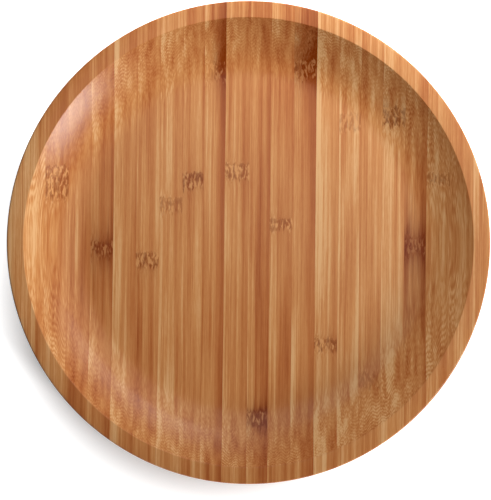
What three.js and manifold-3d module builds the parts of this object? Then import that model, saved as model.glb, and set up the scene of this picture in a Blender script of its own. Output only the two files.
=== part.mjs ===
// Lazy susan turntable: a dished bamboo tray that spins on a ball bearing over a small bamboo base.
// Millimetres, +Z up. The origin is on the spin axis, in the plane that the feet stand on.

import * as THREE from 'three';
import { mergeVertices } from 'three/addons/utils/BufferGeometryUtils.js';
import Module from 'manifold-3d';

const wasm = await Module();
wasm.setup();

// ---- Driving dimensions ----

// Tray, turned in one piece from a 25 mm board of edge-glued bamboo strips
const TRAY_DIAMETER = 406;
const FLOOR_THICKNESS = 8;
const DISH_DEPTH = 17;
const RIM_WIDTH = 14;
const COVE_WIDTH = 53;
const COVE_BEND_RADIUS = 75;
const COVE_BEND_SLOPE = 20;
const ARRIS_RADIUS = 1.5;
const TRAY_TOP_EDGE_RADIUS = 1.5;
const TRAY_LOWER_EDGE_RADIUS = 4;

// Base disc, of the same bamboo board
const BASE_THICKNESS = 12;
const BASE_MARGIN = 12.5;
const BASE_EDGE_RADIUS = 3;
const DRIVER_HOLE_DIAMETER = 20;

// Rubber feet, stuck to the underside of the base
const FOOT_COUNT = 6;
const FOOT_DIAMETER = 18;
const FOOT_HEIGHT = 3;
const FOOT_EDGE_RADIUS = 1;
const FOOT_INSET = 16;

// Swivel bearing: two pressed steel plates with a row of caged balls between them
const PLATE_SIZE = 152;
const PLATE_CORNER_RADIUS = 12;
const PLATE_FLANGE = 9.6;
const SHEET_THICKNESS = 1.2;
const BALL_DIAMETER = 5;
const BALL_COUNT = 24;
const BALL_CLEARANCE = 0.25;
const SHOULDER_WIDTH = 6.5;
const CAGE_WIDTH = 8;
const CAGE_CLEARANCE = 0.4;
const POCKET_CLEARANCE = 0.2;

// Rolled lip that holds the plates together: the lower plate's inner edge, turned out over the upper plate's
const LIP_INSET = 10;
const LIP_REACH = 3;
const LIP_CLEARANCE = 0.3;
const LIP_HEADROOM = 0.2;
const HOLE_CLEARANCE = 0.5;

// Pan-head screws, four into the tray and four into the base
const SCREW_DIAMETER = 3.5;
const SCREW_HEAD_DIAMETER = 7;
const SCREW_HEAD_HEIGHT = 2.1;
const SCREW_POINT_LENGTH = 2.5;
const SCREW_HOLE_CLEARANCE = 0.5;
const SCREW_EDGE_DISTANCE = 10;
const PILOT_CLEARANCE = 0.3;
const PILOT_WEB = 1.5;
const POINT_CLEARANCE = 0.5;
const RECESS_SPAN = 3.6;
const RECESS_SLOT = 0.9;
const RECESS_DEPTH = 1.3;

// Facets round a full turn
const WIDE_FACETS = 96;
const RACE_FACETS = 60;
const FOOT_FACETS = 20;
const SCREW_FACETS = 12;

// ---- Sizes that follow ----

const trayRadius = TRAY_DIAMETER / 2;
const trayThickness = FLOOR_THICKNESS + DISH_DEPTH;
const dishRadius = trayRadius - RIM_WIDTH;

const ballRadius = BALL_DIAMETER / 2;
const bearingHeight = 2 * (SHEET_THICKNESS + BALL_CLEARANCE) + BALL_DIAMETER;
const grooveDepth = SHEET_THICKNESS + LIP_CLEARANCE + LIP_HEADROOM;
const shoulderTop = SHEET_THICKNESS + grooveDepth;
const cageThickness = bearingHeight - 2 * (shoulderTop + CAGE_CLEARANCE);

// The pressed ring ends the flange's width inside the plate's sides, and the lip stands inside the balls.
const ringFoot = PLATE_SIZE / 2 - PLATE_FLANGE;
const shoulderEdge = ringFoot - SHEET_THICKNESS - grooveDepth;
const ballCircle = shoulderEdge - SHOULDER_WIDTH;
const lipRadius = ballCircle - LIP_INSET;

const screwReach = PLATE_SIZE / 2 - SCREW_EDGE_DISTANCE;
const screwCircle = Math.SQRT2 * screwReach;
const pilotDepth = Math.min(FLOOR_THICKNESS, BASE_THICKNESS) - PILOT_WEB;
const screwLength = SHEET_THICKNESS + pilotDepth - POINT_CLEARANCE;

const plateReach = Math.SQRT2 * (PLATE_SIZE / 2 - PLATE_CORNER_RADIUS) + PLATE_CORNER_RADIUS;
const baseRadius = plateReach + BASE_MARGIN;

const baseBottom = FOOT_HEIGHT;
const baseTop = baseBottom + BASE_THICKNESS;
const trayBottom = baseTop + bearingHeight;

// ---- Materials ----

function finish(color, roughness, metalness) {
  return new THREE.MeshStandardMaterial({ color, roughness, metalness });
}

const BAMBOO = finish(0xbb7b4b, 0.45, 0);
const BASE_BAMBOO = finish(0xc48a56, 0.5, 0);
const ZINC_STEEL = finish(0xb9bcbf, 0.35, 0.9);
const BALL_STEEL = finish(0xd5d7da, 0.15, 1);
const NYLON = finish(0xe9e6da, 0.5, 0);
const RUBBER = finish(0x2a2a2b, 0.8, 0);

// ---- Shape helpers ----

// Points along an arc about (r, z), from one angle to another in degrees, counted from +r towards +z.
function arc(r, z, radius, from, to, steps) {
  const points = [];
  for (let i = 0; i <= steps; i += 1) {
    const angle = THREE.MathUtils.degToRad(from + ((to - from) * i) / steps);
    points.push([r + radius * Math.cos(angle), z + radius * Math.sin(angle)]);
  }
  return points;
}

// Solid of revolution about Z. The profile is (radius, height), anticlockwise with the radius to the right.
function turned(profile, facets) {
  const points = profile.map(([r, z]) => new THREE.Vector2(r, z));
  return new THREE.LatheGeometry(points, facets).rotateX(Math.PI / 2);
}

// Ring, whose profile runs all the way round its section.
function turnedRing(profile, facets) {
  return turned([...profile, profile[0]], facets);
}

// Upright cylinder standing on a given height.
function upright(radius, height, bottom, facets) {
  const geometry = new THREE.CylinderGeometry(radius, radius, height, facets);
  return geometry.rotateX(Math.PI / 2).translate(0, 0, bottom + height / 2);
}

function toSolid(geometry) {
  const bare = geometry.clone();
  bare.deleteAttribute('normal');
  bare.deleteAttribute('uv');
  const merged = mergeVertices(bare);
  const corners = merged.index.array;
  const triangles = [];
  for (let i = 0; i < corners.length; i += 3) {
    const [a, b, c] = corners.slice(i, i + 3);
    if (a !== b && b !== c && c !== a) triangles.push(a, b, c);
  }
  return new wasm.Manifold(new wasm.Mesh({
    numProp: 3,
    vertProperties: Float32Array.from(merged.attributes.position.array),
    triVerts: Uint32Array.from(triangles),
  }));
}

function fromSolid(solid) {
  const { vertProperties, triVerts } = solid.getMesh();
  const geometry = new THREE.BufferGeometry();
  geometry.setAttribute('position', new THREE.BufferAttribute(vertProperties, 3));
  geometry.setIndex(new THREE.BufferAttribute(triVerts, 1));
  geometry.computeVertexNormals();
  return geometry;
}

function cutBy(body, cutters) {
  return cutters.reduce((solid, cutter) => solid.subtract(toSolid(cutter)), toSolid(body));
}

// The four screw places, at the corners of the square plates.
const screwPlaces = [[1, 1], [-1, 1], [-1, -1], [1, -1]].map(([x, y]) => [x * screwReach, y * screwReach]);

function part(name, geometry, material) {
  const mesh = new THREE.Mesh(geometry, material);
  mesh.name = name;
  return mesh;
}

// ---- Tray: flat rim, hollow cove and flat floor, with its underside at z = 0 ----

function trayGeometry() {
  // The cove leaves the floor in a bend, then rises on a wider arc tangent to it, out to the rim's edge.
  const bendSlope = THREE.MathUtils.degToRad(COVE_BEND_SLOPE);
  const coveStart = dishRadius - COVE_WIDTH;
  const bendEnd = coveStart + COVE_BEND_RADIUS * Math.sin(bendSlope);
  const bendTop = FLOOR_THICKNESS + COVE_BEND_RADIUS * (1 - Math.cos(bendSlope));
  const rimSlope = 2 * Math.atan2(trayThickness - bendTop, dishRadius - bendEnd) - bendSlope;
  const wallRadius = (dishRadius - bendEnd) / (Math.sin(rimSlope) - Math.sin(bendSlope));
  const wallCentre = [bendEnd - wallRadius * Math.sin(bendSlope), bendTop + wallRadius * Math.cos(bendSlope)];
  // The arris arc is tangent to the rim and takes as much off the wall as it takes off the rim.
  const arrisCut = ARRIS_RADIUS * Math.tan(rimSlope / 2);
  const wallEnd = THREE.MathUtils.radToDeg(rimSlope - arrisCut / wallRadius);
  const profile = [
    [0, 0],
    ...arc(trayRadius - TRAY_LOWER_EDGE_RADIUS, TRAY_LOWER_EDGE_RADIUS, TRAY_LOWER_EDGE_RADIUS, -90, 0, 3),
    ...arc(trayRadius - TRAY_TOP_EDGE_RADIUS, trayThickness - TRAY_TOP_EDGE_RADIUS, TRAY_TOP_EDGE_RADIUS, 0, 90, 2),
    ...arc(dishRadius + arrisCut, trayThickness - ARRIS_RADIUS, ARRIS_RADIUS, 90, 90 + wallEnd, 2),
    ...arc(...wallCentre, wallRadius, -90 + wallEnd, -90 + COVE_BEND_SLOPE, 4).slice(1),
    ...arc(coveStart, FLOOR_THICKNESS + COVE_BEND_RADIUS, COVE_BEND_RADIUS, -90 + COVE_BEND_SLOPE, -90, 3).slice(1),
    [0, FLOOR_THICKNESS],
  ];
  const pilots = screwPlaces.map(([x, y]) => (
    upright(SCREW_DIAMETER / 2 + PILOT_CLEARANCE, pilotDepth + 1, -1, SCREW_FACETS).translate(x, y, 0)
  ));
  return fromSolid(cutBy(turned(profile, WIDE_FACETS), pilots));
}

// ---- Base: round-edged disc with blind pilot holes on top and one through hole for the screwdriver ----

function baseGeometry() {
  const edge = BASE_EDGE_RADIUS;
  const profile = [
    [0, 0],
    ...arc(baseRadius - edge, edge, edge, -90, 0, 2),
    ...arc(baseRadius - edge, BASE_THICKNESS - edge, edge, 0, 90, 2),
    [0, BASE_THICKNESS],
  ];
  const pilots = screwPlaces.map(([x, y]) => (
    upright(SCREW_DIAMETER / 2 + PILOT_CLEARANCE, pilotDepth + 1, BASE_THICKNESS - pilotDepth, SCREW_FACETS)
      .translate(x, y, 0)
  ));
  const driverHole = upright(DRIVER_HOLE_DIAMETER / 2, BASE_THICKNESS + 2, -1, FOOT_FACETS)
    .translate(screwCircle, 0, 0);
  return fromSolid(cutBy(turned(profile, RACE_FACETS), [...pilots, driverHole]));
}

// ---- Foot: round pad with its lower edge rounded off, top face against the base ----

function footGeometry() {
  const radius = FOOT_DIAMETER / 2;
  const profile = [
    [0, 0],
    ...arc(radius - FOOT_EDGE_RADIUS, FOOT_EDGE_RADIUS, FOOT_EDGE_RADIUS, -90, 0, 2),
    [radius, FOOT_HEIGHT],
    [0, FOOT_HEIGHT],
  ];
  return turned(profile, FOOT_FACETS);
}

// ---- Bearing plates: square sheet pressed up into a ring with a ball groove, mounting face at z = 0 ----

// Section of the pressed ring. innerEdge is the list of points round its inner end, top first.
function ringProfile(innerEdge, flangeRadius) {
  const sheet = SHEET_THICKNESS;
  const grooveCentre = sheet + BALL_CLEARANCE + ballRadius;
  const innerGroove = ballRadius + BALL_CLEARANCE;
  const outerGroove = innerGroove + sheet;
  const innerHalf = THREE.MathUtils.radToDeg(Math.acos((grooveCentre - shoulderTop) / innerGroove));
  const outerHalf = THREE.MathUtils.radToDeg(Math.acos((grooveCentre - grooveDepth) / outerGroove));
  const slopeShift = sheet * Math.tan(Math.PI / 8);
  return [
    ...arc(ballCircle, grooveCentre, outerGroove, -90 - outerHalf, -90 + outerHalf, 4),
    [shoulderEdge, grooveDepth],
    [shoulderEdge + grooveDepth, 0],
    [flangeRadius, 0],
    [flangeRadius, sheet],
    [shoulderEdge + grooveDepth + slopeShift, sheet],
    [shoulderEdge + slopeShift, shoulderTop],
    ...arc(ballCircle, grooveCentre, innerGroove, -90 + innerHalf, -90 - innerHalf, 4),
    ...innerEdge,
  ];
}

// The lower plate's inner edge turns up through the upper plate's hole and out over its edge.
function rolledLip() {
  const lipInside = lipRadius - SHEET_THICKNESS;
  const rollUnder = bearingHeight - grooveDepth + LIP_CLEARANCE;
  const rollTop = rollUnder + SHEET_THICKNESS;
  const bend = SHEET_THICKNESS / 2;
  return [
    [lipRadius, shoulderTop],
    [lipRadius, rollUnder],
    [lipRadius + LIP_REACH, rollUnder],
    [lipRadius + LIP_REACH, rollTop],
    [lipInside + bend, rollTop],
    [lipInside, rollTop - bend],
    [lipInside, grooveDepth + bend],
    [lipInside + bend, grooveDepth],
  ];
}

function plainHole() {
  const holeRadius = lipRadius + HOLE_CLEARANCE;
  return [[holeRadius, shoulderTop], [holeRadius, grooveDepth]];
}

function roundedSquare(size, cornerRadius) {
  const half = size / 2;
  const middle = half - cornerRadius;
  const shape = new THREE.Shape();
  shape.moveTo(middle, -half);
  shape.absarc(middle, -middle, cornerRadius, -Math.PI / 2, 0);
  shape.absarc(middle, middle, cornerRadius, 0, Math.PI / 2);
  shape.absarc(-middle, middle, cornerRadius, Math.PI / 2, Math.PI);
  shape.absarc(-middle, -middle, cornerRadius, Math.PI, 1.5 * Math.PI);
  shape.closePath();
  return shape;
}

function plateGeometry(innerEdge) {
  const flangeRadius = ringFoot + SHEET_THICKNESS;
  const square = new THREE.ExtrudeGeometry(roundedSquare(PLATE_SIZE, PLATE_CORNER_RADIUS), {
    depth: SHEET_THICKNESS,
    bevelEnabled: false,
    curveSegments: 6,
  });
  const opening = upright(ringFoot, SHEET_THICKNESS + 2, -1, RACE_FACETS);
  const holes = screwPlaces.map(([x, y]) => (
    upright((SCREW_DIAMETER + SCREW_HOLE_CLEARANCE) / 2, SHEET_THICKNESS + 2, -1, SCREW_FACETS).translate(x, y, 0)
  ));
  const ring = toSolid(turnedRing(ringProfile(innerEdge, flangeRadius), RACE_FACETS));
  return fromSolid(cutBy(square, [opening, ...holes]).add(ring));
}

// ---- Cage: flat ring with one round pocket for each ball, centred on z = 0 ----

const ballAngles = Array.from({ length: BALL_COUNT }, (_, i) => (2 * Math.PI * i) / BALL_COUNT);

function cageGeometry() {
  const inner = ballCircle - CAGE_WIDTH / 2;
  const outer = ballCircle + CAGE_WIDTH / 2;
  const half = cageThickness / 2;
  const ring = turnedRing([[inner, -half], [outer, -half], [outer, half], [inner, half]], RACE_FACETS);
  const pockets = ballAngles.map((angle) => (
    upright(ballRadius + POCKET_CLEARANCE, cageThickness + 2, -half - 1, SCREW_FACETS)
      .translate(ballCircle * Math.cos(angle), ballCircle * Math.sin(angle), 0)
  ));
  return fromSolid(cutBy(ring, pockets));
}

// ---- Screw: pan head with a cross recess, head up, the head's underside at z = 0 ----

function screwGeometry() {
  const head = SCREW_HEAD_DIAMETER / 2;
  const shank = SCREW_DIAMETER / 2;
  const crown = SCREW_HEAD_HEIGHT / 2;
  const profile = [
    [0, -screwLength],
    [shank, -screwLength + SCREW_POINT_LENGTH],
    [shank, 0],
    [head, 0],
    [head, crown],
    [head * 0.8, crown * 1.7],
    [head * 0.5, SCREW_HEAD_HEIGHT],
    [0, SCREW_HEAD_HEIGHT],
  ];
  const slot = new THREE.BoxGeometry(RECESS_SPAN, RECESS_SLOT, RECESS_DEPTH * 2).translate(0, 0, SCREW_HEAD_HEIGHT);
  const crossSlot = slot.clone().rotateZ(Math.PI / 2);
  return fromSolid(cutBy(turned(profile, SCREW_FACETS), [slot, crossSlot]));
}

// ---- Base group: stands still ----

function placedScrews(prefix, turn, height) {
  const geometry = screwGeometry();
  return screwPlaces.map(([x, y], i) => {
    const screw = part(`${prefix}_${i + 1}`, geometry, ZINC_STEEL);
    screw.position.set(x, y, height);
    screw.rotation.x = turn;
    return screw;
  });
}

function baseGroup() {
  const group = new THREE.Group();
  const base = part('base', baseGeometry(), BASE_BAMBOO);
  base.position.z = baseBottom;
  const lowerPlate = part('lower_bearing_plate', plateGeometry(rolledLip()), ZINC_STEEL);
  lowerPlate.position.z = baseTop;
  group.add(base, lowerPlate, ...placedScrews('base_screw', 0, baseTop + SHEET_THICKNESS));
  const pad = footGeometry();
  for (let i = 0; i < FOOT_COUNT; i += 1) {
    const angle = (2 * Math.PI * (i + 0.5)) / FOOT_COUNT;
    const foot = part(`foot_${i + 1}`, pad, RUBBER);
    foot.position.set((baseRadius - FOOT_INSET) * Math.cos(angle), (baseRadius - FOOT_INSET) * Math.sin(angle), 0);
    group.add(foot);
  }
  return group;
}

// ---- Ball ring: turns at half the tray's speed ----

function ballRing() {
  const group = new THREE.Group();
  group.position.z = baseTop + bearingHeight / 2;
  group.add(part('ball_cage', cageGeometry(), NYLON));
  const sphere = new THREE.IcosahedronGeometry(ballRadius, 1);
  ballAngles.forEach((angle, i) => {
    const ball = part(`ball_${String(i + 1).padStart(2, '0')}`, sphere, BALL_STEEL);
    ball.position.set(ballCircle * Math.cos(angle), ballCircle * Math.sin(angle), 0);
    group.add(ball);
  });
  return group;
}

// ---- Turntable group: the tray with the bearing's upper plate, which hangs face down from its underside ----

function turntableGroup() {
  const group = new THREE.Group();
  group.position.z = trayBottom;
  const upperPlate = part('upper_bearing_plate', plateGeometry(plainHole()), ZINC_STEEL);
  upperPlate.rotation.x = Math.PI;
  group.add(part('tray', trayGeometry(), BAMBOO), upperPlate);
  group.add(...placedScrews('tray_screw', Math.PI, -SHEET_THICKNESS));
  return group;
}

const lazySusan = new THREE.Group();
lazySusan.add(baseGroup(), ballRing(), turntableGroup());

export default lazySusan;
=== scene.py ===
import math
import random

import bmesh
import bpy
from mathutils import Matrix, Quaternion, Vector


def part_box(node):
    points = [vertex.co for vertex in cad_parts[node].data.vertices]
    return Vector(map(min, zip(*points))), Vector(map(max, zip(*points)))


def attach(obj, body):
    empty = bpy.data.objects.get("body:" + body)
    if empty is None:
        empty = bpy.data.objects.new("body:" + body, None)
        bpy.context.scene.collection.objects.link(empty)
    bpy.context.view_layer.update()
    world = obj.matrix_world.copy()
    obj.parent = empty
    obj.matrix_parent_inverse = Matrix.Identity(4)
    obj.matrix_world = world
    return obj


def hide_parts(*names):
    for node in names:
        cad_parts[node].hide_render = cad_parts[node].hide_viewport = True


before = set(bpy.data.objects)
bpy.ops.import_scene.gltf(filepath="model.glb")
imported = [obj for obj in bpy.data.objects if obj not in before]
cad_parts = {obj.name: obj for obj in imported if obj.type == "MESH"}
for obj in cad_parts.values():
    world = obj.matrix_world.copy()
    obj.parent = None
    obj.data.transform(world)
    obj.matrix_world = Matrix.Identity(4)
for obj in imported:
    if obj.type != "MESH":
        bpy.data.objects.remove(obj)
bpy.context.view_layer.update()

# ---- Rubber feet ----
# Six round pads of black moulded rubber glued under the base, so that the turntable doesn't slide. Each has
# a rounded lower edge and the shallow dimple that the mould's gate leaves in its middle.

MM = 0.001


def linear(code):
    """The linear colour of an sRGB hex code."""
    shares = [int(code[i:i + 2], 16) / 255 for i in (1, 3, 5)]
    return [c / 12.92 if c <= 0.04045 else ((c + 0.055) / 1.055) ** 2.4 for c in shares] + [1.0]


def feed(tree, node, inputs):
    """Sets a node's inputs. Each is a value, a socket, or a node whose first output it takes."""
    for key, value in inputs.items() if isinstance(inputs, dict) else enumerate(inputs):
        if isinstance(value, bpy.types.Node):
            value = value.outputs[0]
        if isinstance(value, bpy.types.NodeSocket):
            tree.links.new(value, node.inputs[key])
        else:
            node.inputs[key].default_value = value


def add(tree, kind, inputs=(), **settings):
    """Adds a node with its settings and its inputs."""
    made = tree.nodes.new(kind)
    for name, value in settings.items():
        setattr(made, name, value)
    feed(tree, made, inputs)
    return made


def surface(name):
    """An empty material with its output, its gloss shader and the piece's own coordinates in millimetres."""
    material = bpy.data.materials.new(name)
    material.use_nodes = True
    tree = material.node_tree
    tree.nodes.clear()
    shader = add(tree, "ShaderNodeBsdfPrincipled")
    add(tree, "ShaderNodeOutputMaterial", {"Surface": shader})
    place = add(tree, "ShaderNodeTexCoord")
    scaled = add(tree, "ShaderNodeMapping", {"Vector": place.outputs["Object"], "Scale": (1 / MM,) * 3})
    return material, tree, shader, scaled


def shape_tree(name, sizes):
    """A Geometry Nodes tree with geometry in and out, a named input for each size and one for the finish."""
    tree = bpy.data.node_groups.new(name, "GeometryNodeTree")
    tree.interface.new_socket("Geometry", in_out="OUTPUT", socket_type="NodeSocketGeometry")
    for label, kind in {"Geometry": "Geometry", **sizes, "Finish": "Material"}.items():
        tree.interface.new_socket(label, in_out="INPUT", socket_type="NodeSocket" + kind)
    return tree, tree.nodes.new("NodeGroupInput").outputs


def made_real(tree, shape, finish):
    """Ends a tree: its instances are made real and get their material, and leave as its geometry."""
    plain = add(tree, "GeometryNodeRealizeInstances", {"Geometry": shape})
    finished = add(tree, "GeometryNodeSetMaterial", {"Geometry": plain, "Material": finish})
    add(tree, "NodeGroupOutput", {"Geometry": finished})
    return tree


def kept_as_mesh(piece):
    """Keeps what a piece's modifiers give as its plain mesh, and removes them."""
    evaluated = piece.evaluated_get(bpy.context.evaluated_depsgraph_get())
    piece.data = bpy.data.meshes.new_from_object(evaluated)
    piece.modifiers.clear()
    return piece


def shaped(piece, tree, sizes):
    """Runs a tree on a piece with the given sizes, and leaves it with its finish in its only slot."""
    modifier = piece.modifiers.new(tree.name, "NODES")
    modifier.node_group = tree
    for item in tree.interface.items_tree:
        if item.in_out == "INPUT" and item.name in sizes:
            modifier[item.identifier] = sizes[item.name]
    mesh = kept_as_mesh(piece).data
    mesh.materials.clear()
    mesh.materials.append(sizes["Finish"])
    mesh.polygons.foreach_set("material_index", [0] * len(mesh.polygons))
    return piece


def piece_of(name, vertices=(), faces=()):
    """A new object in the scene with the given mesh."""
    mesh = bpy.data.meshes.new(name)
    mesh.from_pydata(vertices, [], faces)
    piece = bpy.data.objects.new(name, mesh)
    bpy.context.scene.collection.objects.link(piece)
    return piece


def turned(name, section, facets):
    """A piece turned round the z axis. section(angle) lists (radius, height) in mm, anticlockwise: out
    along the bottom, up the outside and back along the top. Off the axis at both ends, it makes a ring."""
    rows = [section(2 * math.pi * k / facets) for k in range(facets)]
    steps = len(rows[0])
    solid = rows[0][0][0] == 0
    vertices = []
    for k, row in enumerate(rows):
        angle = 2 * math.pi * k / facets
        vertices += [(r * MM * math.cos(angle), r * MM * math.sin(angle), z * MM) for r, z in row]
    faces = []
    for k in range(facets):
        near, far = k * steps, (k + 1) % facets * steps
        for j in range(steps - 1 if solid else steps):
            following = (j + 1) % steps
            face = [near + j, far + j, far + following, near + following]
            if solid and j == 0:
                face = [0, far + 1, near + 1]
            elif solid and j == steps - 2:
                face = [near + j, far + j, steps - 1]
            faces.append(face)
    piece = piece_of(name, vertices, faces)
    if solid:
        form = bmesh.new()
        form.from_mesh(piece.data)
        bmesh.ops.delete(form, geom=[v for v in form.verts if not v.link_faces], context="VERTS")
        form.to_mesh(piece.data)
        form.free()
    return piece


def arc(radius, height, bend, start, end, steps):
    """Points in mm on an arc about (radius, height), from one angle to the other in degrees."""
    angles = [math.radians(start + (end - start) * i / steps) for i in range(steps + 1)]
    return [(radius + bend * math.cos(a), height + bend * math.sin(a)) for a in angles]


def smoothed(piece, angle):
    """Shades a piece smooth, except across edges sharper than the angle in degrees."""
    piece.data.shade_smooth()
    piece.data.set_sharp_from_angle(angle=math.radians(angle))


CIRCLE_SIZES = {"Count": "Int", "Circle Radius": "Float", "First Angle": "Float"}


def places_in_a_circle(tree, sizes, height=0.0):
    """Points round a circle, at a height, the first of them at its own angle."""
    circle = add(tree, "GeometryNodeMeshCircle", {
        "Vertices": sizes["Count"], "Radius": sizes["Circle Radius"]})
    turn = add(tree, "ShaderNodeCombineXYZ", {"Z": sizes["First Angle"]})
    lift = add(tree, "ShaderNodeCombineXYZ", {"Z": height})
    return add(tree, "GeometryNodeTransform", {"Geometry": circle, "Rotation": turn, "Translation": lift})


def placed_in_a_circle():
    """Sets copies of the piece round a circle, each turned to its own place."""
    tree, sizes = shape_tree("Pieces round a circle", CIRCLE_SIZES)
    points = places_in_a_circle(tree, sizes)
    place = add(tree, "ShaderNodeSeparateXYZ", [add(tree, "GeometryNodeInputPosition")])
    bearing = add(tree, "ShaderNodeMath", [place.outputs["Y"], place.outputs["X"]], operation="ARCTAN2")
    facing = add(tree, "ShaderNodeCombineXYZ", {"Z": bearing})
    copies = add(tree, "GeometryNodeInstanceOnPoints", {
        "Points": points, "Instance": sizes["Geometry"], "Rotation": facing})
    return made_real(tree, copies, sizes["Finish"])


# Moulded rubber: nearly black and dull, with the fine grain of a blasted mould, which is drawn at 0.6 mm so
# that it shows.
rubber, tree, shader, grid = surface("Moulded black rubber")
grain = add(tree, "ShaderNodeTexNoise", {"Vector": grid, "Scale": 1.6, "Detail": 3.0})
dust = add(tree, "ShaderNodeTexNoise", {"Vector": grid, "Scale": 0.25, "Detail": 2.0})
shade = add(tree, "ShaderNodeMix", {"Factor": dust, 6: linear("#232324"), 7: linear("#3A3938")},
            data_type="RGBA")
gloss = add(tree, "ShaderNodeMapRange", {"Value": dust, "To Min": 0.62, "To Max": 0.85})
relief = add(tree, "ShaderNodeBump", {"Height": grain, "Strength": 0.35, "Distance": 0.0002})
feed(tree, shader, {"Base Color": shade.outputs[2], "Roughness": gloss, "Normal": relief})

foot_low, foot_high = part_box("foot_1")
foot_radius = (foot_high.x - foot_low.x) / 2 / MM
foot_height = foot_high.z / MM
foot_spot = (foot_low + foot_high) / 2
FOOT_EDGE = 1.0
FOOT_DRAFT = 0.15
GATE_RADIUS = 2.5
GATE_DEPTH = 0.5
GATE_SLOPE = 0.6
foot_section = [
    (0, GATE_DEPTH),
    (GATE_RADIUS - GATE_SLOPE, GATE_DEPTH),
    (GATE_RADIUS, 0),
    *arc(foot_radius - FOOT_EDGE, FOOT_EDGE, FOOT_EDGE, -90, 0, 6),
    (foot_radius - FOOT_DRAFT, foot_height),
    (0, foot_height),
]
feet = turned("rubber_feet", lambda angle: foot_section, 48)
circle_tree = placed_in_a_circle()
FOOT_NODES = [f"foot_{i + 1}" for i in range(6)]
shaped(feet, circle_tree, {
    "Count": len(FOOT_NODES), "Circle Radius": math.hypot(foot_spot.x, foot_spot.y),
    "First Angle": math.atan2(foot_spot.y, foot_spot.x), "Finish": rubber})
smoothed(feet, 40)
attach(feet, "base")
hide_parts(*FOOT_NODES)

# ---- Base ----
# A plain disc of the same caramel bamboo board, turned with rounded edges. It has a blind pilot hole for
# each of the four plate screws, and one through hole that lets a screwdriver reach the screws of the tray.

# Sizes in the bamboo, in mm: its strips, its bundles of fibre and the rows and arches that they stand in,
# the glue between strips, and how far the line and the foot of a ring wander.
STRIP_WIDTH = 19.0
BUNDLE_WIDTH = 2.0
BUNDLE_DEPTH = 1.3
ROW_DEPTH = 1.1
ARCH_PLACE = 0.3
ARCH_WIDTH = 11.0
ARCH_HEIGHT = 1.5
GLUE_LINE = 0.25
WAVE_DEPTH = 5.0
RAGGED_DEPTH = 9.0
FRAYED_DEPTH = 16.0

# The marks on every face of a board, and the bamboo's colours from dark to light.
MARKS = ("strip", "tone", "ring_place", "ring_dark", "ring_fade")
CARAMEL = ((0.0, "#672D12"), (0.25, "#974C23"), (0.5, "#B06937"), (0.78, "#C58750"), (1.0, "#D6A571"))

# Patterns in the cane and in its fibres: waves per millimetre across, along and through a strip, and detail.
# The bands are about 5 mm wide and 220 mm long, and the streaks 0.8 mm wide and 40 mm long.
CANE_PATTERNS = {
    "wave": ((0.22, 0.03, 0.22), {"Detail": 1.0}),
    "ragged": ((0.8, 0.02, 0.8), {"Detail": 2.0}),
    "frayed": ((0.7, 0.02, 0.7), {"Detail": 1.0}),
    "drift": ((0.055, 0.009, 0.055), {"Detail": 1.0}),
    "sway": ((0.3, 0.02, 0.3), {"Detail": 1.0}),
    "curl": ((0.3, 0.2, 0.3), {"Detail": 1.0}),
    "bands": ((0.2, 0.0045, 0.12), {"Detail": 1.5}),
    "clouds": ((0.05, 0.012, 0.05), {"Detail": 2.0}),
}
FIBRE_PATTERNS = {
    "streaks": ((1.3, 0.025, 1.3), {"Detail": 2.0, "Roughness": 0.6}),
    "flecks": ((1.5, 0.16, 1.5), {"Detail": 1.0}),
    "strokes": ((0.5, 0.13, 0.5), {"Detail": 1.0, "Distortion": 0.25}),
}


def drilled_in_a_circle():
    """Drills straight holes round a circle, from one height to another."""
    tree, sizes = shape_tree("Holes round a circle", {
        **CIRCLE_SIZES, "Hole Radius": "Float", "Bottom": "Float", "Top": "Float"})
    middle = add(tree, "ShaderNodeMath", [sizes["Bottom"], sizes["Top"]], operation="ADD")
    middle = add(tree, "ShaderNodeMath", [middle, 0.5], operation="MULTIPLY")
    points = places_in_a_circle(tree, sizes, middle)
    depth = add(tree, "ShaderNodeMath", [sizes["Top"], sizes["Bottom"]], operation="SUBTRACT")
    drill = add(tree, "GeometryNodeMeshCylinder", {
        "Vertices": 40, "Radius": sizes["Hole Radius"], "Depth": depth})
    drills = add(tree, "GeometryNodeInstanceOnPoints", {"Points": points, "Instance": drill})
    plain = add(tree, "GeometryNodeRealizeInstances", {"Geometry": drills})
    cut = add(tree, "GeometryNodeMeshBoolean", {
        "Mesh 1": sizes["Geometry"], "Mesh 2": plain}, operation="DIFFERENCE", solver="EXACT")
    return made_real(tree, cut, sizes["Finish"])


def lay_strips(piece, across, strips):
    """Cuts a board's mesh along its glue lines and marks every face with its strip: where it starts, how
    light it is, and where it has the ring that divided two hollow lengths of the cane."""
    form = bmesh.new()
    form.from_mesh(piece.data)
    axis = Vector((across == 0, across == 1, 0))
    for strip in strips[1:]:
        bmesh.ops.bisect_plane(form, geom=form.verts[:] + form.edges[:] + form.faces[:], dist=1e-6,
                               plane_co=axis * strip["left"] * MM, plane_no=axis)
    layers = {mark: form.faces.layers.float_vector.new(mark) for mark in MARKS}
    for face in form.faces:
        along = face.calc_center_median()[across] / MM
        own = [strip for strip in strips if strip["left"] <= along][-1]
        for mark, layer in layers.items():
            face[layer] = Vector(own[mark])
    form.to_mesh(piece.data)
    form.free()


def strip_of(left, width, seed, tone, place=(0, 1, 0), dark=(0, 0, 0), fade=(10, 10, 0)):
    """One strip's marks. Its tone goes from left to right. Its ring is told by its height, its depth and its
    darker side, then how dark it is above, in and below it, and then how far that fades above and below, and
    by how much it keeps to the strip's edges."""
    return {"left": left, "strip": (left, width, seed), "tone": tone,
            "ring_place": place, "ring_dark": dark, "ring_fade": fade}


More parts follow.
